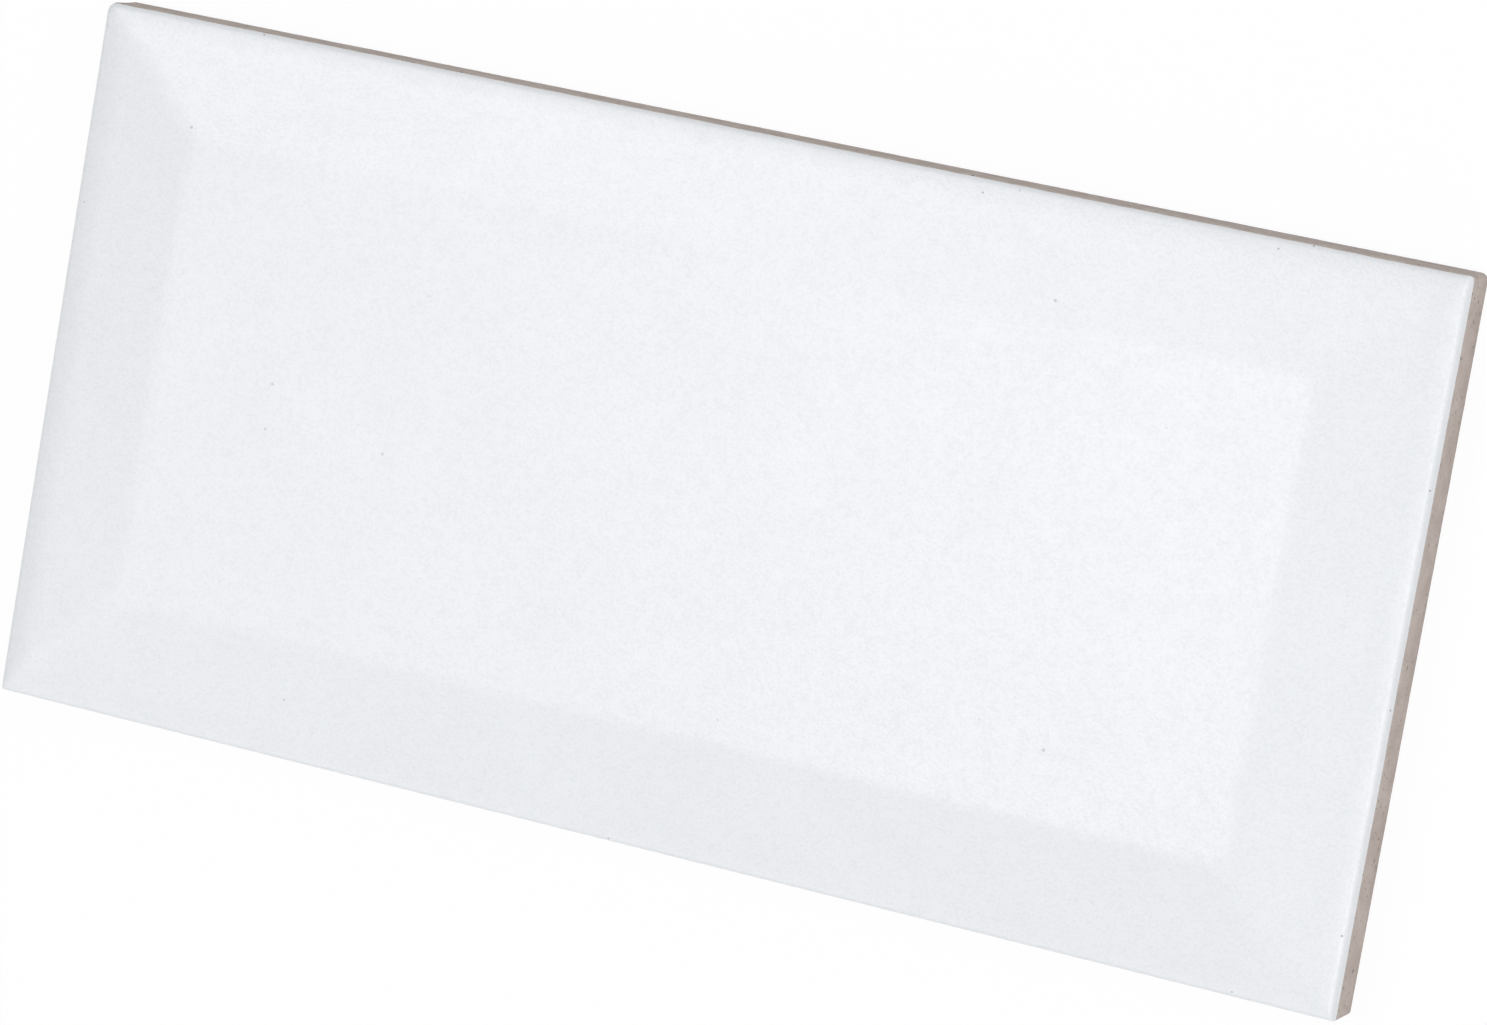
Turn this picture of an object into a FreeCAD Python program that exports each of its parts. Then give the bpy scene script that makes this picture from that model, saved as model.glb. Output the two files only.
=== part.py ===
"""Bevelled subway wall tile: one pressed and fired piece with a keyed back.

Sizes are in millimetres and angles in degrees.  The tile lies on its back.
X runs along its length, Y across its width and Z out of its face; the
origin is the middle of the bedding plane at the back.
"""
import FreeCAD
import Part
import Sketcher
import math
import os

NODE = "wall_tile"

SIZES = [
    ("face_length", 148.0, "length of the tile over its walls"),
    ("face_width", 73.0, "width of the tile over its walls"),
    ("edge_thickness", 6.2, "back to the line where bevel and wall would meet"),
    ("bevel_rise", 1.8, "height of the flat panel above that line"),
    ("end_bevel", 13.1, "width of the bevels at the two short ends"),
    ("side_bevel", 12.5, "width of the bevels along the two long sides"),
    ("shoulder_radius", 0.9, "rounding between wall and bevel"),
    ("corner_extra", 0.1, "how much rounder than the shoulder the four corners are"),
    ("ridge_radius", 10.0, "soft rounding between bevel and flat panel"),
    ("panel_corner", 1.2, "corner radius left on the flat panel"),
    ("back_arris", 0.4, "small bevel where the walls meet the back"),
    ("key_depth", 0.7, "depth of the keying grooves in the back"),
    ("key_width", 3.2, "width of a groove at its mouth"),
    ("key_pitch", 6.4, "spacing of the grooves across the width"),
    ("key_border", 5.5, "smallest plain border left beside the grooves"),
    ("key_end", 7.0, "plain border left at the ends of the grooves"),
    ("key_draft", 25.0, "lean of the groove walls, which lets the die lift off"),
]

FACE_HEIGHT = "dims.edge_thickness + dims.bevel_rise"

# The corners are rounder than the shoulder that runs round them.
CORNER_RADIUS = "dims.shoulder_radius + dims.corner_extra"

# The panel's corners keep a radius of their own inside the soft ridge.
BEVEL_ANGLE = "atan(dims.bevel_rise / min(dims.end_bevel; dims.side_bevel))"
PANEL_RADIUS = "dims.ridge_radius * tan(%s / 2) + dims.panel_corner" % BEVEL_ANGLE

# Grooves lie in pairs about the middle, as many as the border leaves room for.
KEY_ROOM = "(dims.face_width / 2 - dims.key_border - dims.key_width / 2)"
KEY_PAIRS = "floor(%s / dims.key_pitch + 0.5)" % KEY_ROOM

QUARTER_TURN = math.pi / 2
LEVEL_TOLERANCE = 1e-4

doc = FreeCAD.newDocument("subway_tile")

# Driving sizes
sheet = doc.addObject("Spreadsheet::Sheet", "dims")
for row, (alias, value, meaning) in enumerate(SIZES, start=1):
    sheet.set("A%d" % row, meaning)
    sheet.set("B%d" % row, "%g" % value)
    sheet.setAlias("B%d" % row, alias)
doc.recompute()

body = doc.addObject("PartDesign::Body", NODE)
body.Label = NODE


def size(expression):
    """Work out an expression of the driving sizes as a plain number."""
    return float(sheet.evalExpression(expression))


def origin_plane(role):
    """Return one of the body's own origin planes."""
    for feature in body.Origin.OriginFeatures:
        if feature.Role == role:
            return feature
    raise RuntimeError("no origin plane " + role)


def new_sketch(name, height=None):
    """Start a sketch parallel to the back, at a height given by an expression."""
    sketch = body.newObject("Sketcher::SketchObject", name)
    sketch.AttachmentSupport = [(origin_plane("XY_Plane"), "")]
    sketch.MapMode = "FlatFace"
    if height:
        sketch.setExpression("AttachmentOffset.Base.z", height)
    return sketch


def line(x1, y1, x2, y2):
    """Return a straight sketch edge."""
    return Part.LineSegment(FreeCAD.Vector(x1, y1, 0), FreeCAD.Vector(x2, y2, 0))


def arc(x, y, radius, first_quarter, quarters=1):
    """Return a round sketch edge that starts and ends on whole quarter turns."""
    circle = Part.Circle(FreeCAD.Vector(x, y, 0), FreeCAD.Vector(0, 0, 1), radius)
    start = first_quarter * QUARTER_TURN
    return Part.ArcOfCircle(circle, start, start + quarters * QUARTER_TURN)


def draw_closed(sketch, edges):
    """Add edges that follow one another smoothly, the last one into the first."""
    sketch.addGeometry(edges, False)
    for index in range(len(edges)):
        following = (index + 1) % len(edges)
        sketch.addConstraint(Sketcher.Constraint("Tangent", index, 2, following, 1))


def bind(sketch, constraint, name, expression):
    """Add a named dimension that follows an expression of the driving sizes."""
    index = sketch.addConstraint(constraint)
    sketch.renameConstraint(index, name)
    sketch.setExpression("Constraints." + name, expression)


def rounded_rectangle(sketch, length, width, radius):
    """Draw a rectangle with round corners, centred on the sketch's origin."""
    corner = size(radius)
    far_x = size(length) / 2
    far_y = size(width) / 2
    near_x = far_x - corner
    near_y = far_y - corner
    draw_closed(sketch, [
        line(-near_x, -far_y, near_x, -far_y),
        arc(near_x, -near_y, corner, 3),
        line(far_x, -near_y, far_x, near_y),
        arc(near_x, near_y, corner, 0),
        line(near_x, far_y, -near_x, far_y),
        arc(-near_x, near_y, corner, 1),
        line(-far_x, near_y, -far_x, -near_y),
        arc(-near_x, -near_y, corner, 2),
    ])
    for index in (0, 4):
        sketch.addConstraint(Sketcher.Constraint("Horizontal", index))
    for index in (2, 6):
        sketch.addConstraint(Sketcher.Constraint("Vertical", index))
    for index in (3, 5, 7):
        sketch.addConstraint(Sketcher.Constraint("Equal", 1, index))
    sketch.addConstraint(Sketcher.Constraint("Symmetric", 0, 1, 4, 1, -1, 1))
    bind(sketch, Sketcher.Constraint("Radius", 1, corner), "radius", radius)
    bind(sketch, Sketcher.Constraint("DistanceX", 6, 1, 2, 1, 2 * far_x), "length", length)
    bind(sketch, Sketcher.Constraint("DistanceY", 0, 1, 4, 1, 2 * far_y), "width", width)


def groove_outline(sketch):
    """Draw the mouth of the outermost groove: straight, with round ends."""
    run = "dims.face_length - 2 * dims.key_end - dims.key_width"
    from_middle = "(%s - 0.5) * dims.key_pitch" % KEY_PAIRS
    end_radius = "dims.key_width / 2"
    reach = size(run) / 2
    middle = -size(from_middle)
    half = size(end_radius)
    draw_closed(sketch, [
        line(-reach, middle - half, reach, middle - half),
        arc(reach, middle, half, -1, 2),
        line(reach, middle + half, -reach, middle + half),
        arc(-reach, middle, half, 1, 2),
    ])
    sketch.addConstraint(Sketcher.Constraint("Equal", 1, 3))
    sketch.addConstraint(Sketcher.Constraint("Symmetric", 0, 1, 0, 2, -2))
    bind(sketch, Sketcher.Constraint("Radius", 1, half), "end_radius", end_radius)
    bind(sketch, Sketcher.Constraint("DistanceX", 3, 3, 1, 3, 2 * reach), "run", run)
    bind(sketch, Sketcher.Constraint("DistanceY", 1, 3, -1, 1, -middle), "from_middle", from_middle)


def loop_at(feature, height):
    """Name the edges of a feature that lie level at one height."""
    names = []
    for index, edge in enumerate(feature.Shape.Edges, start=1):
        box = edge.BoundBox
        if abs(box.ZMin - height) < LEVEL_TOLERANCE and abs(box.ZMax - height) < LEVEL_TOLERANCE:
            names.append("Edge%d" % index)
    return names


# Pressed slab below the bevels
footprint = new_sketch("footprint")
rounded_rectangle(footprint, "dims.face_length", "dims.face_width", CORNER_RADIUS)
slab = body.newObject("PartDesign::Pad", "slab")
slab.Profile = footprint
slab.setExpression("Length", "dims.edge_thickness")
doc.recompute()

# Four mitred bevels rising to the flat panel
bevel_foot = new_sketch("bevel_foot", "dims.edge_thickness")
rounded_rectangle(bevel_foot, "dims.face_length", "dims.face_width", CORNER_RADIUS)
panel = new_sketch("panel", FACE_HEIGHT)
rounded_rectangle(panel, "dims.face_length - 2 * dims.end_bevel",
                  "dims.face_width - 2 * dims.side_bevel", PANEL_RADIUS)
bevels = body.newObject("PartDesign::AdditiveLoft", "bevels")
bevels.Profile = bevel_foot
bevels.Sections = [panel]
bevels.Ruled = True
doc.recompute()

# Soft ridge round the flat panel
ridge = body.newObject("PartDesign::Fillet", "ridge")
ridge.Base = (bevels, loop_at(bevels, size(FACE_HEIGHT)))
ridge.setExpression("Radius", "dims.ridge_radius")
doc.recompute()

# Rounded shoulder between bevels and walls
shoulder = body.newObject("PartDesign::Fillet", "shoulder")
shoulder.Base = (ridge, loop_at(ridge, size("dims.edge_thickness")))
shoulder.setExpression("Radius", "dims.shoulder_radius")
doc.recompute()

# Eased arris round the back
arris = body.newObject("PartDesign::Chamfer", "arris")
arris.Base = (shoulder, loop_at(shoulder, 0.0))
arris.setExpression("Size", "dims.back_arris")
doc.recompute()

# Outermost keying groove, narrower at its floor than at its mouth
groove_mouth = new_sketch("groove_mouth")
groove_outline(groove_mouth)
groove = body.newObject("PartDesign::Pocket", "groove")
groove.Profile = groove_mouth
groove.Reversed = True
groove.setExpression("Length", "dims.key_depth")
groove.setExpression("TaperAngle", "-dims.key_draft")
doc.recompute()

# Row of grooves across the back
keying = body.newObject("PartDesign::LinearPattern", "keying")
keying.Originals = [groove]
keying.Direction = (groove_mouth, ["V_Axis"])
keying.setExpression("Length", "(2 * %s - 1) * dims.key_pitch" % KEY_PAIRS)
keying.setExpression("Occurrences", "2 * %s" % KEY_PAIRS)
body.Tip = keying
doc.recompute()

# Nothing is written unless every step is sound and the grooves cut the back
for item in doc.Objects:
    if "Invalid" in item.State or "Error" in item.State:
        raise RuntimeError("%s: %s" % (item.Name, item.State))
shape = body.Shape
if shape.isNull() or not shape.isValid() or len(shape.Solids) != 1:
    raise RuntimeError("the tile is not one sound solid")
if not shape.Volume < groove.Shape.Volume < arris.Shape.Volume:
    raise RuntimeError("the grooves do not cut the back")
os.makedirs("parts", exist_ok=True)
shape.exportStep("parts/%s.step" % NODE)
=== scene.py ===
"""Bevelled subway wall tile lying face up on a pale floor.

The tile is one mesh: a glazed face with mitred bevels and rounded shoulders,
bare clay walls and a keyed back.  Lengths are in metres, in the tile's frame:
X along its length, Y across its width, Z out of its face.
"""
import math

import bpy
import numpy as np
from mathutils import Euler, Matrix, Vector, noise


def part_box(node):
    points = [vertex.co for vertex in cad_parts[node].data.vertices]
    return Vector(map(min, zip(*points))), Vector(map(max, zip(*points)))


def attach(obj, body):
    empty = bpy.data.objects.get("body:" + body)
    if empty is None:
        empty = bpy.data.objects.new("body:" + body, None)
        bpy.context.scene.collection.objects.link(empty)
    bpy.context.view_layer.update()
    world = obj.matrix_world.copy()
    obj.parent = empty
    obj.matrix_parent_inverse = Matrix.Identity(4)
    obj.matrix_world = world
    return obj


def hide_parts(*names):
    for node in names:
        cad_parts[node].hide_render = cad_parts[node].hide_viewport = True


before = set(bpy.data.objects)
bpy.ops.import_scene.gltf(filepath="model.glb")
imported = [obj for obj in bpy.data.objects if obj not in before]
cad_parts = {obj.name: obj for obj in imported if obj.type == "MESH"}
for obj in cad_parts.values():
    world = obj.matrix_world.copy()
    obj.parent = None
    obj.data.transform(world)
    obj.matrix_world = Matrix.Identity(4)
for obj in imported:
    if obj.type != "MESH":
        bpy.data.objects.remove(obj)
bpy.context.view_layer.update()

NODE = "wall_tile"
MM = 0.001

low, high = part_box(NODE)
HALF_LENGTH = (high[0] - low[0]) / 2
HALF_WIDTH = (high[1] - low[1]) / 2
FACE_HEIGHT = high[2]

# Section of the face, from the wall inwards: a round shoulder, a crown that
# eases into the straight bevel, and a soft ridge round the flat panel
EDGE_THICKNESS = 6.2 * MM
END_BEVEL = 13.1 * MM
SIDE_BEVEL = 12.5 * MM
MEAN_BEVEL = (END_BEVEL + SIDE_BEVEL) / 2
SHOULDER_RADIUS = 1.0 * MM
CROWN_REACH = 3.6 * MM
CROWN_LEAN = math.tan(math.radians(10))
RIDGE_HALF_WIDTH = 0.7 * MM
SLOPE = (FACE_HEIGHT - EDGE_THICKNESS) / MEAN_BEVEL
CROWN_TILT = math.atan(SLOPE + CROWN_LEAN)
ROUND_REACH = SHOULDER_RADIUS * (1 - math.sin(CROWN_TILT))
ROUND_RUN = SHOULDER_RADIUS * (math.pi / 2 - CROWN_TILT)

# Corners in plan at the glaze's edge and at the back, sharper along the bottom,
# and rounder up the mitres
TOP_LEFT_CORNER = 1.0 * MM
TOP_RIGHT_CORNER = 0.45 * MM
BOTTOM_CORNERS = 0.25 * MM
FOOT_CORNERS = 0.45 * MM
TOP_RIGHT_FOOT_CORNER = 0.8 * MM
MITRE_RADIUS = 2.0 * MM
MITRE_REACH = 5.0 * MM

# Stretch of the mesh lines that turn a corner, at the face and at the back
FACE_CORNER_BAND = 0.6 * MM
FOOT_CORNER_BAND = 0.8 * MM

# Keyed back
BACK_ARRIS = 0.4 * MM
KEY_DEPTH = 0.7 * MM
KEY_WIDTH = 3.2 * MM
KEY_PITCH = 6.4 * MM
KEY_COUNT = 10
KEY_END = 7.0 * MM
KEY_DRAFT = math.radians(25)
KEY_DRAFT_RUN = KEY_DEPTH * math.tan(KEY_DRAFT)
KEY_MIDDLES = (np.arange(KEY_COUNT) - (KEY_COUNT - 1) / 2) * KEY_PITCH

# Rings of the mesh up the shoulder, by their run along it from the wall's top.
# The first is the lower edge of the glaze, a small step out from the clay.
SHOULDER_RUNS = np.array([0.24, 0.33, 0.43, 0.53, 0.63, 0.73, 0.83, 0.93, 1.03, 1.12, 1.21]) * MM
GLAZE_RUN = SHOULDER_RUNS[0]
GLAZE_STEP = 0.07 * MM
STEP_FADE_SHARE = 0.06
GLAZE_WANDER = 0.11 * MM

# Noises that make up the uneven run of the glaze's edge: (share, wavelength, seed)
EDGE_WANDERS = ((0.5, 13 * MM, 3.7), (0.3, 3.1 * MM, 8.2), (0.4, 1.5 * MM, 1.9))

# The glaze ends higher along the top wall than on the others, most of all at its
# right end, and stays high round the top left corner.
TOP_GLAZE_RISE = 0.36 * MM
TOP_GLAZE_LEAN = 0.10 * MM
OTHER_GLAZE_RISE = -0.08 * MM
CORNER_BLEND = 1.0 * MM
LEFT_WRAP = 2.0 * MM

# Other rings of the mesh, up crown, bevel and ridge, its spacing on the panel, and
# its lines across the round end of a groove
CROWN_RINGS = 7
BEVEL_RINGS = 17
RIDGE_RINGS = 8
PANEL_SPACING = 0.75 * MM
GROOVE_END_LINES = 9

# Rows of the mesh down the walls, by their share of the way from glaze to arris
WALL_SHARES = (0.0, 0.02, 0.05, 0.11, 0.22, 0.36, 0.52, 0.68, 0.84, 1.0)
ARRIS_ROWS = 3

# Gentle waves left in the glaze: (wavelength, height, seed)
GLAZE_WAVES = ((16 * MM, 0.007 * MM, 11.3), (6 * MM, 0.003 * MM, 22.6))

# Relief of the bare clay on walls and back, and its noises: (wavelength, seed)
WALL_ROUGHNESS = 0.05 * MM
WALL_GRAINS = ((2.3 * MM, 6.6), (0.9 * MM, 2.9))
BACK_ROUGHNESS = 0.03 * MM
BACK_GRAIN = (1.7 * MM, 5.1)

# Edges that turn by more than this are shaded as sharp
SHARP_ANGLE = math.radians(45)

# Least length that is divided by
TINY = 1e-12


def wander(points, wavelength, seed):
    """Smooth noise from -1 to 1 at each point of an array of X, Y, Z rows."""
    shift = Vector((seed, -seed, 2 * seed))
    return np.array([noise.noise(Vector(point) / wavelength + shift) for point in points])


def eased(share):
    """Smooth rise from 0 to 1."""
    share = np.clip(share, 0, 1)
    return share * share * (3 - 2 * share)


def bevel_height(inset):
    """Height of crown, bevel and ridge at an inset from the wall."""
    height = EDGE_THICKNESS + SLOPE * inset
    before = np.clip(CROWN_REACH - inset, 0, None)
    height = height - CROWN_LEAN * before ** 2 / (2 * (CROWN_REACH - ROUND_REACH))
    left = np.clip(MEAN_BEVEL + RIDGE_HALF_WIDTH - inset, 0, None)
    ridge = FACE_HEIGHT - SLOPE * left ** 2 / (4 * RIDGE_HALF_WIDTH)
    return np.where(inset < MEAN_BEVEL - RIDGE_HALF_WIDTH, height, ridge)


WALL_TOP = float(bevel_height(ROUND_REACH)) - SHOULDER_RADIUS * math.cos(CROWN_TILT)


def shoulder_curve(run):
    """Inset, height and tilt at a run up the wall and the shoulder's round."""
    tilt = math.pi / 2 - np.clip(run, 0, None) / SHOULDER_RADIUS
    inset = SHOULDER_RADIUS * (1 - np.sin(tilt))
    height = WALL_TOP + np.minimum(run, 0) + SHOULDER_RADIUS * np.cos(tilt)
    return inset, height, tilt


def face_rings():
    """Inset from the end walls, inset from the side walls and height of each ring."""
    round_inset, round_height, _ = shoulder_curve(SHOULDER_RUNS)
    ridge_start = MEAN_BEVEL - RIDGE_HALF_WIDTH
    ridge_end = MEAN_BEVEL + RIDGE_HALF_WIDTH
    crown = np.linspace(ROUND_REACH, CROWN_REACH, CROWN_RINGS, endpoint=False)
    bevel = np.linspace(CROWN_REACH, ridge_start, BEVEL_RINGS, endpoint=False)
    ridge = np.linspace(ridge_start, ridge_end, RIDGE_RINGS)
    inset = np.concatenate([crown, bevel, ridge])
    share = (inset - ROUND_REACH) / (MEAN_BEVEL - ROUND_REACH)
    from_end = ROUND_REACH + share * (END_BEVEL - ROUND_REACH)
    from_side = ROUND_REACH + share * (SIDE_BEVEL - ROUND_REACH)
    return (np.concatenate([round_inset, from_end]),
            np.concatenate([round_inset, from_side]),
            np.concatenate([round_height, bevel_height(inset)]))


def face_lines(half, insets):
    """Places of the mesh lines across the face: the rings' insets, then even steps."""
    inner = half - insets[-1]
    steps = round(2 * inner / PANEL_SPACING)
    middle = np.linspace(-inner, inner, steps + 1)[1:-1]
    return np.concatenate([insets - half, middle, half - insets[::-1]])


def corner_radius(inset, x, y):
    """Radius in plan of a ring's corners."""
    top = np.where(x < 0, TOP_LEFT_CORNER, TOP_RIGHT_CORNER)
    outer = np.where(y < 0, BOTTOM_CORNERS, top)
    return outer + (MITRE_RADIUS - outer) * eased(inset / MITRE_REACH)


def rounded_corner(along, across, radius):
    """Pull points that lie on a square corner's sides onto its inscribed arc."""
    inside = (along < radius) & (across < radius)
    to_x = along - radius
    to_y = across - radius
    scale = radius / np.maximum(np.hypot(to_x, to_y), TINY)
    return (np.where(inside, radius + to_x * scale, along),
            np.where(inside, radius + to_y * scale, across))


def way_out(x, y, out_x, out_y):
    """Direction out of the outline: square to a side, or fanned round a corner."""
    corner = (out_x > 0) & (out_y > 0)
    turn = np.where(corner, np.arctan2(out_y, out_x), np.where(out_x > out_y, 0, math.pi / 2))
    return np.stack([np.sign(x) * np.cos(turn), np.sign(y) * np.sin(turn)], axis=-1)


def glaze_slide(x, y):
    """How far the edge of the glaze wanders up the shoulder, by place in plan."""
    points = np.stack([x, y, np.zeros_like(x)], axis=-1).reshape(-1, 3)
    uneven = sum(share * wander(points, wavelength, seed)
                 for share, wavelength, seed in EDGE_WANDERS)
    from_top = HALF_WIDTH - y
    from_end = HALF_LENGTH - np.abs(x) + np.where(x < 0, LEFT_WRAP, 0)
    on_top = np.where(y > 0, eased(0.5 + (from_end - from_top) / (2 * CORNER_BLEND)), 0)
    top_rise = TOP_GLAZE_RISE + TOP_GLAZE_LEAN * x / HALF_LENGTH
    rise = top_rise * on_top + OTHER_GLAZE_RISE * (1 - on_top)
    return GLAZE_WANDER * uneven.reshape(x.shape) + rise


def face_vertices(lines_x, lines_y, ring_end, ring_side, ring_height):
    """Vertices of shoulders, bevels and panel, as arrays over the mesh lines."""
    count = len(ring_height)
    line_x, line_y = np.meshgrid(lines_x, lines_y, indexing="ij")
    step_x, step_y = np.meshgrid(range(len(lines_x)), range(len(lines_y)), indexing="ij")
    ring = np.minimum(np.minimum(step_x, len(lines_x) - 1 - step_x),
                      np.minimum(step_y, len(lines_y) - 1 - step_y))
    on_ring = ring < count
    ring = np.minimum(ring, count - 1)

    # The shoulder's rings slide along its curve with the edge of the glaze.
    on_shoulder = ring < len(SHOULDER_RUNS)
    nominal = np.append(SHOULDER_RUNS, np.full(count - len(SHOULDER_RUNS), ROUND_RUN))[ring]
    hold = (ROUND_RUN - nominal) / (ROUND_RUN - GLAZE_RUN)
    inset, height, _ = shoulder_curve(nominal + hold * glaze_slide(line_x, line_y))
    inset_x = np.where(on_shoulder, inset, ring_end[ring])
    inset_y = np.where(on_shoulder, inset, ring_side[ring])
    height = np.where(on_shoulder, height, ring_height[ring])

    along = HALF_LENGTH - np.abs(line_x) - ring_end[ring]
    across = HALF_WIDTH - np.abs(line_y) - ring_side[ring]
    along, across = rounded_corner(along, across, corner_radius(ring_side[ring], line_x, line_y))
    x = np.where(on_ring, np.sign(line_x) * (HALF_LENGTH - inset_x - along), line_x)
    y = np.where(on_ring, np.sign(line_y) * (HALF_WIDTH - inset_y - across), line_y)
    z = np.where(on_ring, height, FACE_HEIGHT)

    # Glaze waves, always below the highest plane and none at the walls
    fade = np.clip((z - EDGE_THICKNESS) / (FACE_HEIGHT - EDGE_THICKNESS), 0, 1)
    points = np.stack([x, y, z], axis=-1).reshape(-1, 3)
    for wavelength, depth, seed in GLAZE_WAVES:
        wave = wander(points, wavelength, seed).reshape(z.shape)
        z = z + fade * depth * (wave - 1)
    return np.stack([x, y, z], axis=-1)


def key_depth(x, y):
    """Depth of the keying grooves at points of the back."""
    depth = np.zeros_like(x)
    reach = HALF_LENGTH - KEY_END - KEY_WIDTH / 2
    for middle in KEY_MIDDLES:
        inside = KEY_WIDTH / 2 - np.hypot(np.clip(np.abs(x) - reach, 0, None), y - middle)
        depth = np.maximum(depth, KEY_DEPTH * np.clip(inside / KEY_DRAFT_RUN, 0, 1))
    return depth


def back_lines(lines, half, stations):
    """Mesh lines of the back: those of the face, moved so that some lie on the stations."""
    away = lines[lines > 0]
    nearest = np.round(np.interp(stations, away, np.arange(len(away)))).astype(int)
    for index in range(1, len(nearest)):
        nearest[index] = max(nearest[index], nearest[index - 1] + 1)
    edge = away[-1]
    old_places = np.concatenate([[0], away[nearest], [edge - FACE_CORNER_BAND, edge]])
    new_places = np.concatenate([[0], stations, [half - FOOT_CORNER_BAND, half - BACK_ARRIS]])
    return np.sign(lines) * np.interp(np.abs(lines), old_places, new_places)


def back_vertices(lines_x, lines_y):
    """Vertices of the keyed back and, for each, the way out of the tile's outline."""
    x, y = np.meshgrid(lines_x, lines_y, indexing="ij")
    radius = np.where((x > 0) & (y > 0), TOP_RIGHT_FOOT_CORNER, FOOT_CORNERS)
    out_x = np.abs(x) - (HALF_LENGTH - radius)
    out_y = np.abs(y) - (HALF_WIDTH - radius)
    corner = (out_x > 0) & (out_y > 0)
    reach = np.hypot(out_x, out_y)
    scale = np.where(corner, np.maximum(out_x, out_y) / np.where(reach > 0, reach, 1), 1.0)
    outward = way_out(x, y, out_x, out_y)
    x = np.where(corner, np.sign(x) * (HALF_LENGTH - radius + out_x * scale), x)
    y = np.where(corner, np.sign(y) * (HALF_WIDTH - radius + out_y * scale), y)
    points = np.stack([x, y, np.zeros_like(x)], axis=-1)
    grain = wander(points.reshape(-1, 3), *BACK_GRAIN).reshape(x.shape)
    points[..., 2] = key_depth(x, y) + BACK_ROUGHNESS * (grain + 1) / 2
    return points, outward


def perimeter(columns, rows):
    """Grid places round the outside, counter-clockwise as seen from the face."""
    places = [(i, 0) for i in range(columns)]
    places += [(columns - 1, j) for j in range(1, rows)]
    places += [(i, rows - 1) for i in range(columns - 2, -1, -1)]
    places += [(0, j) for j in range(rows - 2, 0, -1)]
    return np.array(places)


def wall_rows(top, top_run, top_out, foot, foot_out):
    """Rows of vertices from the edge of the glaze down to the back's arris."""
    top_inset, _, _ = shoulder_curve(top_run)
    on_top = top[:, :2] + top_inset[:, None] * top_out
    on_foot = foot[:, :2] + BACK_ARRIS * foot_out
    rows = []

    # Down the wall, with the step below the glaze fading out
    for share in WALL_SHARES:
        outward = top_out * (1 - share) + foot_out * share
        outward = outward / np.linalg.norm(outward, axis=1, keepdims=True)
        inset, height, tilt = shoulder_curve(top_run + share * (BACK_ARRIS - WALL_TOP - top_run))
        step = GLAZE_STEP * max(0.0, 1 - share / STEP_FADE_SHARE)
        inset = inset + step * np.sin(tilt)
        plan = on_top * (1 - share) + on_foot * share - inset[:, None] * outward
        rows.append(np.column_stack([plan, height - step * np.cos(tilt)]))

    # Round the arris to the back
    for row in range(1, ARRIS_ROWS):
        angle = row / ARRIS_ROWS * math.pi / 2
        plan = foot[:, :2] + BACK_ARRIS * math.cos(angle) * foot_out
        height = np.full(len(foot), BACK_ARRIS * (1 - math.sin(angle)))
        rows.append(np.column_stack([plan, height]))

    # The clay's grain, which only cuts into the wall
    for points in rows:
        grain = sum(wander(points, wavelength, seed) for wavelength, seed in WALL_GRAINS)
        worn = (grain / len(WALL_GRAINS) + 1) / 2
        points[:, :2] -= (WALL_ROUGHNESS * worn)[:, None] * foot_out
    return rows


def grid_faces(numbers):
    """Quads between neighbouring mesh lines, facing up."""
    return np.stack([numbers[:-1, :-1], numbers[1:, :-1], numbers[1:, 1:], numbers[:-1, 1:]],
                    axis=-1).reshape(-1, 4)


def key_stations():
    """Places along and across the back where its mesh needs lines: the grooves' edges."""
    groove_end = HALF_LENGTH - KEY_END
    along = np.linspace(groove_end - KEY_WIDTH / 2, groove_end, GROOVE_END_LINES)
    edges = np.array([KEY_WIDTH / 2, KEY_WIDTH / 2 - KEY_DRAFT_RUN])
    across = np.concatenate([KEY_MIDDLES + side * edge for side in (-1, 1) for edge in edges])
    return along, np.sort(across[across > 0])


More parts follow.
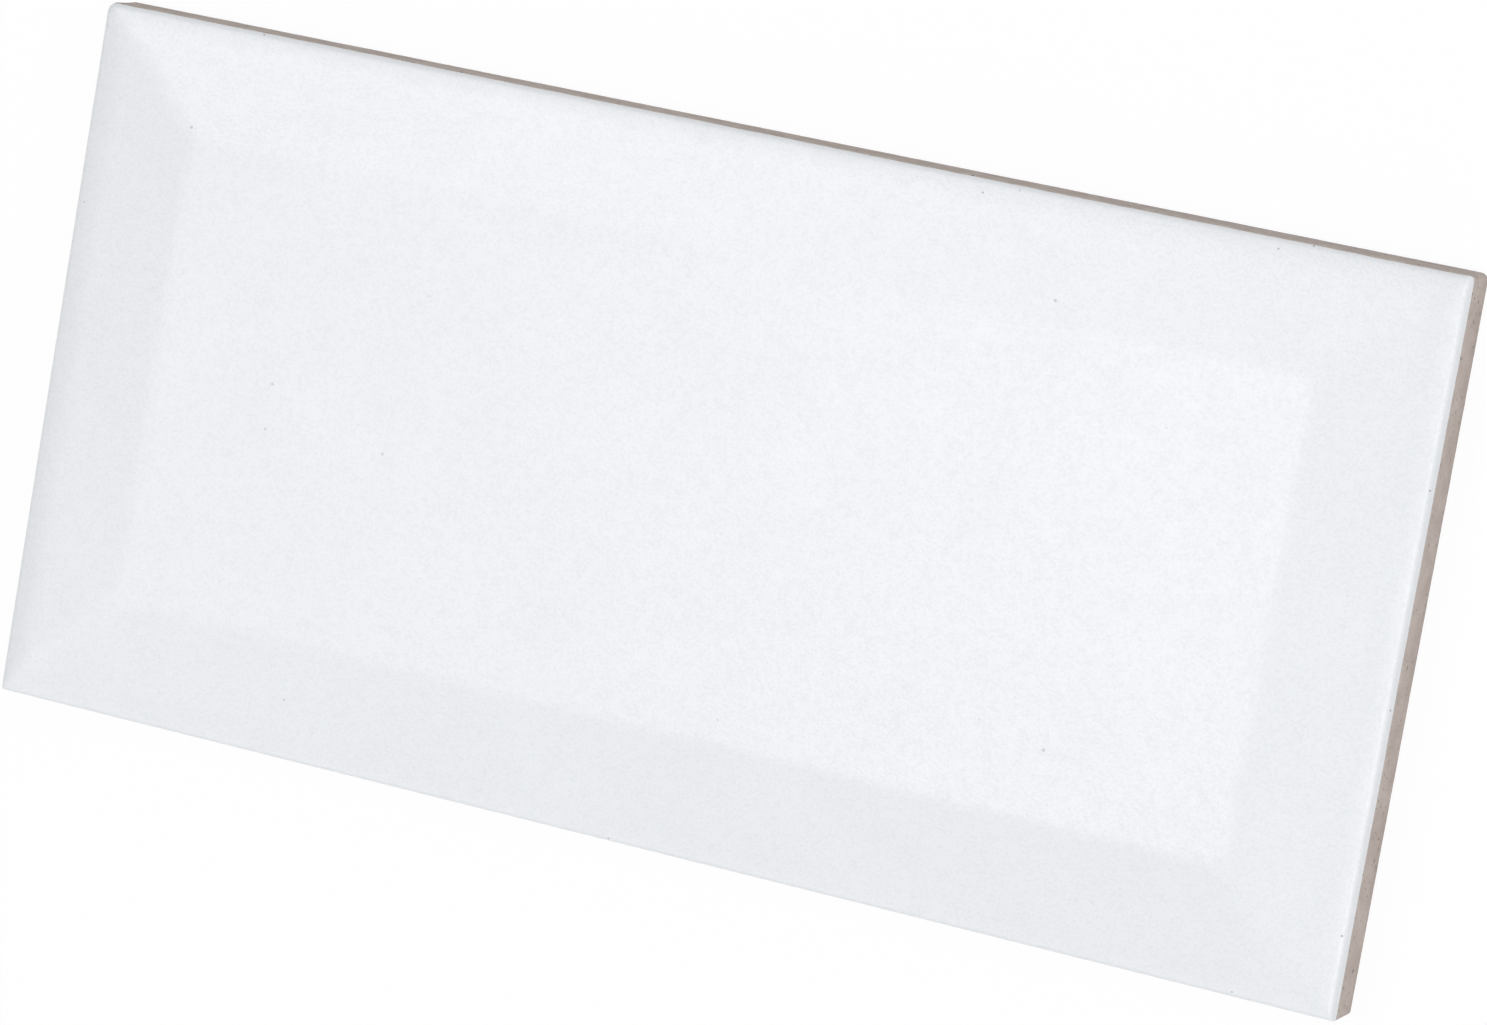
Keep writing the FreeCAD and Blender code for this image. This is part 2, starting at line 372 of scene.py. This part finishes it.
def build_tile():
    """Make the whole tile as one closed mesh with glazed and bare faces."""
    ring_end, ring_side, ring_height = face_rings()
    face_x = face_lines(HALF_LENGTH, ring_end)
    face_y = face_lines(HALF_WIDTH, ring_side)
    columns = len(face_x)
    rows = len(face_y)
    face = face_vertices(face_x, face_y, ring_end, ring_side, ring_height)

    stations_x, stations_y = key_stations()
    back_x = back_lines(face_x, HALF_LENGTH, stations_x)
    back_y = back_lines(face_y, HALF_WIDTH, stations_y)
    back, back_out = back_vertices(back_x, back_y)

    around = perimeter(columns, rows)
    rim = tuple(around.T)
    rim_x = face_x[rim[0]]
    rim_y = face_y[rim[1]]
    radius = corner_radius(ring_side[0], rim_x, rim_y)
    face_out = way_out(rim_x, rim_y, np.abs(rim_x) - (face_x[-1] - radius),
                       np.abs(rim_y) - (face_y[-1] - radius))
    glaze_run = GLAZE_RUN + glaze_slide(rim_x, rim_y)
    walls = wall_rows(face[rim], glaze_run, face_out, back[rim], back_out[rim])

    vertices = np.concatenate([face.reshape(-1, 3), *walls, back.reshape(-1, 3)])
    numbers = np.arange(columns * rows).reshape(columns, rows)
    back_numbers = numbers + columns * rows + len(walls) * len(around)
    loops = [numbers[rim]]
    for row in range(len(walls)):
        loops.append(columns * rows + row * len(around) + np.arange(len(around)))
    loops.append(back_numbers[rim])

    face_quads = grid_faces(numbers)
    wall_quads = [np.stack([upper, lower, np.roll(lower, -1), np.roll(upper, -1)], axis=-1)
                  for upper, lower in zip(loops, loops[1:])]
    back_quads = grid_faces(back_numbers)[:, ::-1]
    quads = np.concatenate([face_quads, *wall_quads, back_quads])
    bare = np.ones(len(quads), dtype=np.int32)
    bare[:len(face_quads) + len(around)] = 0

    mesh = bpy.data.meshes.new("fired_tile")
    mesh.from_pydata(vertices.tolist(), [], quads.tolist())
    mesh.materials.append(glaze_material())
    mesh.materials.append(clay_material())
    mesh.polygons.foreach_set("material_index", bare)
    mesh.polygons.foreach_set("use_smooth", np.ones(len(quads), dtype=bool))
    mesh.set_sharp_from_angle(angle=SHARP_ANGLE)
    mesh.update()
    tile = bpy.data.objects.new("fired_tile", mesh)
    bpy.context.scene.collection.objects.link(tile)
    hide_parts(NODE)
    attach(tile, "root")


# Share of a speck's radius that has its full strength
SPECK_CORE = 0.4


class Shader:
    """A material's node tree, with short ways to add and join nodes."""

    def __init__(self, name):
        self.material = bpy.data.materials.new(name)
        self.material.use_nodes = True
        self.tree = self.material.node_tree
        self.surface = self.tree.nodes["Principled BSDF"]
        self.place = self.add("ShaderNodeTexCoord").outputs["Object"]

    def add(self, kind, inputs=None, **settings):
        """Add a node; each input is a plain value or a socket to join."""
        node = self.tree.nodes.new(kind)
        for name, value in settings.items():
            setattr(node, name, value)
        for name, value in (inputs or {}).items():
            self.set(node.inputs[name], value)
        return node

    def set(self, socket, value):
        """Give a socket a plain value or join it to another one."""
        if isinstance(value, bpy.types.NodeSocket):
            self.tree.links.new(value, socket)
        else:
            socket.default_value = value

    def noise(self, size, detail, roughness):
        """Noise between about 0 and 1 with features of one size."""
        node = self.add("ShaderNodeTexNoise", {"Vector": self.place, "Scale": 1 / size,
                                               "Detail": detail, "Roughness": roughness})
        return node.outputs["Fac"]

    def remap(self, value, low_in, high_in, low_out, high_out):
        """Move a value smoothly from one range to another."""
        node = self.add("ShaderNodeMapRange", {
            "Value": value, "From Min": low_in, "From Max": high_in,
            "To Min": low_out, "To Max": high_out}, interpolation_type="SMOOTHSTEP")
        return node.outputs["Result"]

    def math(self, operation, first, second):
        """Combine two values."""
        node = self.add("ShaderNodeMath", operation=operation)
        self.set(node.inputs[0], first)
        self.set(node.inputs[1], second)
        return node.outputs[0]

    def weigh(self, share, first, second):
        """Add a share of one value to the rest of another."""
        part = self.math("MULTIPLY", first, share)
        return self.math("ADD", part, self.math("MULTIPLY", second, 1 - share))

    def mix(self, share, first, second):
        """Blend two colours."""
        node = self.add("ShaderNodeMix", data_type="RGBA")
        self.set(node.inputs["Factor"], share)
        self.set(node.inputs["A"], first)
        self.set(node.inputs["B"], second)
        return node.outputs["Result"]

    def specks(self, spacing, radius, share):
        """Mask of small round specks, scattered about one spacing apart."""
        cells = self.add("ShaderNodeTexVoronoi", {"Vector": self.place, "Scale": 1 / spacing})
        edge = radius / spacing
        spot = self.remap(cells.outputs["Distance"], edge, SPECK_CORE * edge, 0, 1)
        colour = self.add("ShaderNodeSeparateColor", {"Color": cells.outputs["Color"]})
        chosen = self.math("LESS_THAN", colour.outputs["Red"], share)
        return self.math("MULTIPLY", spot, chosen)

    def bump(self, height, depth, normal=None):
        """Raise the surface by a height map of one real depth."""
        inputs = {"Height": height, "Distance": depth}
        if normal is not None:
            inputs["Normal"] = normal
        return self.add("ShaderNodeBump", inputs).outputs["Normal"]


# Glaze: colours
GLAZE_PALE = (0.866, 0.884, 0.909, 1)
GLAZE_SHADE = (0.784, 0.802, 0.827, 1)
# Bluish grey of the rim: partly the glaze running thin, partly painted shade on the shoulder
RIM_THIN_GLAZE_AND_SHADE = (0.665, 0.692, 0.722, 1)
# Greys of pinholes and rim specks: painted shade in the pits
PINHOLE_PAINTED_SHADE = (0.45, 0.45, 0.45, 1)
IRON_BROWN = (0.56, 0.48, 0.41, 1)
RIM_PIT_PAINTED_SHADE = (0.30, 0.29, 0.28, 1)

# Glaze: noises as (size, detail, roughness), the share of the finer of two, and the
# range of the mixed noise
FINE_GRAIN = (0.3 * MM, 3.0, 0.65)
COARSE_GRAIN = (1.1 * MM, 2.0, 0.5)
CLOUDS = (9 * MM, 2.0, 0.5)
FINE_SHARE = 0.8
GRAIN_SHARE = 0.88
GLAZE_RANGE = (0.3, 0.7)

# Glaze: specks as (spacing, radius, share of the places that have one), and how
# strongly each colour covers the glaze; the greys of pinholes and rim specks are painted shade
# in their pits
PINHOLES = (3.4 * MM, 0.2 * MM, 0.1)
IRON_SPECKS = (4.7 * MM, 0.17 * MM, 0.3)
RIM_SPECKS = (1.7 * MM, 0.15 * MM, 0.5)
PINHOLE_SHADE_STRENGTH = 0.5
IRON_STRENGTH = 0.4
RIM_PIT_SHADE_STRENGTH = 0.7
RIM_THIN_GLAZE_AND_SHADE_STRENGTH = 0.3

# Glaze: heights between which it runs thin and darker, partly painted shade on the rim,
# and below which the rim has specks, gloss and fine relief
RIM_THIN_GLAZE_AND_SHADE_LOW = EDGE_THICKNESS - 0.55 * MM
RIM_THIN_GLAZE_AND_SHADE_HIGH = EDGE_THICKNESS - 0.2 * MM
RIM_HEIGHT = EDGE_THICKNESS + 0.1 * MM
GLAZE_ROUGHNESS = (0.26, 0.36)
GLAZE_IOR = 1.5
GLAZE_RELIEF = 0.04 * MM
PIT_DEPTH = 0.04 * MM


def glaze_material():
    """Cool white satin-matt glaze with a fine grain, a few pinholes and iron specks, painted
    shade in its pits and on the rim where it runs thin.
    """
    shader = Shader("satin_white_glaze")
    grain = shader.weigh(FINE_SHARE, shader.noise(*FINE_GRAIN), shader.noise(*COARSE_GRAIN))
    tone = shader.weigh(GRAIN_SHARE, grain, shader.noise(*CLOUDS))
    pinholes = shader.specks(*PINHOLES)
    iron = shader.specks(*IRON_SPECKS)
    height = shader.add("ShaderNodeSeparateXYZ", {"Vector": shader.place}).outputs["Z"]
    near_rim = shader.math("LESS_THAN", height, RIM_HEIGHT)
    rim_specks = shader.math("MULTIPLY", shader.specks(*RIM_SPECKS), near_rim)
    # Darker, bluer band low on the shoulder: partly thin glaze, partly painted shade
    thin_glaze_and_shade = shader.remap(height, RIM_THIN_GLAZE_AND_SHADE_LOW, RIM_THIN_GLAZE_AND_SHADE_HIGH, RIM_THIN_GLAZE_AND_SHADE_STRENGTH, 0)

    colour = shader.mix(shader.remap(tone, *GLAZE_RANGE, 0, 1), GLAZE_PALE, GLAZE_SHADE)
    colour = shader.mix(thin_glaze_and_shade, colour, RIM_THIN_GLAZE_AND_SHADE)
    # Pinholes and rim specks get painted shade in their pits, iron specks their own brown
    for specks, strength, shade in ((pinholes, PINHOLE_SHADE_STRENGTH, PINHOLE_PAINTED_SHADE),
                                    (iron, IRON_STRENGTH, IRON_BROWN),
                                    (rim_specks, RIM_PIT_SHADE_STRENGTH, RIM_PIT_PAINTED_SHADE)):
        colour = shader.mix(shader.math("MULTIPLY", specks, strength), colour, shade)
    shader.set(shader.surface.inputs["Base Color"], colour)
    roughness = shader.remap(grain, *GLAZE_RANGE, *GLAZE_ROUGHNESS)
    shader.set(shader.surface.inputs["Roughness"], roughness)
    shader.surface.inputs["IOR"].default_value = GLAZE_IOR

    grained = shader.bump(grain, GLAZE_RELIEF)
    pits = shader.math("MAXIMUM", pinholes, rim_specks)
    pitted = shader.bump(shader.math("SUBTRACT", 1.0, pits), PIT_DEPTH, grained)
    shader.set(shader.surface.inputs["Normal"], pitted)
    return shader.material


# Clay: colours, the pores' dark being painted shade, then noises, pores, gloss and relief in the
# same terms as the glaze's
CLAY_PALE = (0.563, 0.494, 0.456, 1)
CLAY_DARK = (0.443, 0.377, 0.344, 1)
# Painted shade inside the pores
PORE_PAINTED_SHADE = (0.18, 0.145, 0.125, 1)
CLAY_GRAIN = (0.24 * MM, 4.0, 0.65)
CLAY_PATCHES = (2.2 * MM, 3.0, 0.5)
CLAY_GRAIN_SHARE = 0.55
CLAY_RANGE = (0.32, 0.68)
SMALL_PORES = (0.9 * MM, 0.15 * MM, 0.35)
LARGE_PORES = (2.3 * MM, 0.26 * MM, 0.3)
PORE_SHADE_STRENGTH = 0.75
CLAY_ROUGHNESS = 0.9
CLAY_SPECULAR = 0.25
CLAY_RELIEF = 0.05 * MM
PORE_DEPTH = 0.12 * MM


def clay_material():
    """Bare pinkish grey fired clay, granular, with small pores painted dark as the shade inside
    them.
    """
    shader = Shader("bare_fired_clay")
    grain = shader.noise(*CLAY_GRAIN)
    tone = shader.weigh(CLAY_GRAIN_SHARE, grain, shader.noise(*CLAY_PATCHES))
    pores = shader.math("MAXIMUM", shader.specks(*SMALL_PORES), shader.specks(*LARGE_PORES))

    colour = shader.mix(shader.remap(tone, *CLAY_RANGE, 0, 1), CLAY_DARK, CLAY_PALE)
    # Painted shade in the pores, over their small dents
    colour = shader.mix(shader.math("MULTIPLY", pores, PORE_SHADE_STRENGTH), colour, PORE_PAINTED_SHADE)
    shader.set(shader.surface.inputs["Base Color"], colour)
    shader.surface.inputs["Roughness"].default_value = CLAY_ROUGHNESS
    shader.surface.inputs["Specular IOR Level"].default_value = CLAY_SPECULAR

    rough = shader.bump(grain, CLAY_RELIEF)
    pitted = shader.bump(shader.math("SUBTRACT", 1.0, pores), PORE_DEPTH, rough)
    shader.set(shader.surface.inputs["Normal"], pitted)
    return shader.material


# Floor, and how much of its white is its own glow
FLOOR_HALF = 3.0
FLOOR_WHITE = (0.9, 0.9, 0.9, 1)
FLOOR_GLOW_SHARE = 0.96
WHITE = (1, 1, 1, 1)


def seen_share(shader):
    """1 for what the camera sees, directly or by reflection, and 0 for light on the object."""
    path = shader.add("ShaderNodeLightPath")
    seen = shader.math("MAXIMUM", path.outputs["Is Camera Ray"], path.outputs["Is Glossy Ray"])
    return shader.math("MAXIMUM", seen, path.outputs["Is Transmission Ray"])


def floor_material():
    """Pale floor that shows as white but keeps a soft shadow."""
    shader = Shader("pale_floor")
    shader.surface.inputs["Base Color"].default_value = FLOOR_WHITE
    shader.surface.inputs["Roughness"].default_value = 1.0
    shader.surface.inputs["Specular IOR Level"].default_value = 0.0
    glow = shader.add("ShaderNodeEmission", {"Color": WHITE, "Strength": 1.0})
    share = shader.math("MULTIPLY", seen_share(shader), FLOOR_GLOW_SHARE)
    both = shader.add("ShaderNodeMixShader")
    shader.set(both.inputs[0], share)
    shader.set(both.inputs[1], shader.surface.outputs[0])
    shader.set(both.inputs[2], glow.outputs[0])
    shader.set(shader.tree.nodes["Material Output"].inputs["Surface"], both.outputs[0])
    return shader.material


def build_floor():
    """Lay a wide floor under the tile."""
    corners = [(-FLOOR_HALF, -FLOOR_HALF, 0), (FLOOR_HALF, -FLOOR_HALF, 0),
               (FLOOR_HALF, FLOOR_HALF, 0), (-FLOOR_HALF, FLOOR_HALF, 0)]
    mesh = bpy.data.meshes.new("floor")
    mesh.from_pydata(corners, [], [(0, 1, 2, 3)])
    mesh.materials.append(floor_material())
    floor = bpy.data.objects.new("floor", mesh)
    bpy.context.scene.collection.objects.link(floor)


# Studio lamps, all at one distance from the tile: name, tilt from straight above and
# turn from +X in degrees, width and height in metres, power in watts
LAMP_DISTANCE = 1.3
LAMPS = (
    ("overhead_softbox", 14, 200, 0.32, 0.32, 3.2),
    ("upper_left_softbox", 31, 142, 0.42, 0.42, 4.25),
    ("left_softbox", 42, 200, 0.32, 0.32, 1.36),
    ("right_softbox", 34, 345, 0.40, 0.40, 3.88),
    ("front_window", 64, 270, 2.6, 0.90, 6.7),
    ("front_strip", 84, 270, 1.8, 0.25, 1.1),
    ("back_right_window", 62, 30, 1.8, 0.75, 6.9),
)
SURROUND_STRENGTH = 0.10


def build_lights():
    """Soft studio light: lamps that face the tile, and an even surround."""
    for name, tilt, turn, width, height, power in LAMPS:
        lamp = bpy.data.lights.new(name, "AREA")
        lamp.shape = "RECTANGLE"
        lamp.size = width
        lamp.size_y = height
        lamp.energy = power
        holder = bpy.data.objects.new(name, lamp)
        facing = Euler((math.radians(tilt), 0, math.radians(turn + 90)))
        holder.rotation_euler = facing
        holder.location = facing.to_matrix() @ Vector((0, 0, LAMP_DISTANCE))
        bpy.context.scene.collection.objects.link(holder)
    world = bpy.data.worlds.new("studio")
    world.use_nodes = True
    background = world.node_tree.nodes["Background"]
    background.inputs["Color"].default_value = WHITE
    background.inputs["Strength"].default_value = SURROUND_STRENGTH
    bpy.context.scene.world = world


# Camera, fitted to the tile's outline in the photograph; lens and sensor in millimetres
CAMERA_EYE = Vector((225.68, 78.35, 564.22)) * MM
CAMERA_AIM = Vector((6.00, -0.60, 8.0)) * MM
CAMERA_ROLL = math.radians(9.796)
CAMERA_LENS = 147.826
SENSOR_WIDTH = 36.0
NEAREST_SEEN = 0.01
FARTHEST_SEEN = 20.0


def build_camera():
    """Look down on the face from above its right end."""
    camera = bpy.data.cameras.new("camera")
    camera.sensor_width = SENSOR_WIDTH
    camera.lens = CAMERA_LENS
    camera.clip_start = NEAREST_SEEN
    camera.clip_end = FARTHEST_SEEN
    ahead = (CAMERA_AIM - CAMERA_EYE).normalized()
    right = ahead.cross(Vector((0, 1, 0))).normalized()
    upright = Matrix((right, right.cross(ahead), -ahead)).transposed()
    holder = bpy.data.objects.new("camera", camera)
    turned = upright @ Matrix.Rotation(CAMERA_ROLL, 3, "Z")
    holder.matrix_world = Matrix.Translation(CAMERA_EYE) @ turned.to_4x4()
    bpy.context.scene.collection.objects.link(holder)
    bpy.context.scene.camera = holder


build_tile()
build_floor()
build_lights()
build_camera()
bpy.context.scene.view_settings.view_transform = "Standard"
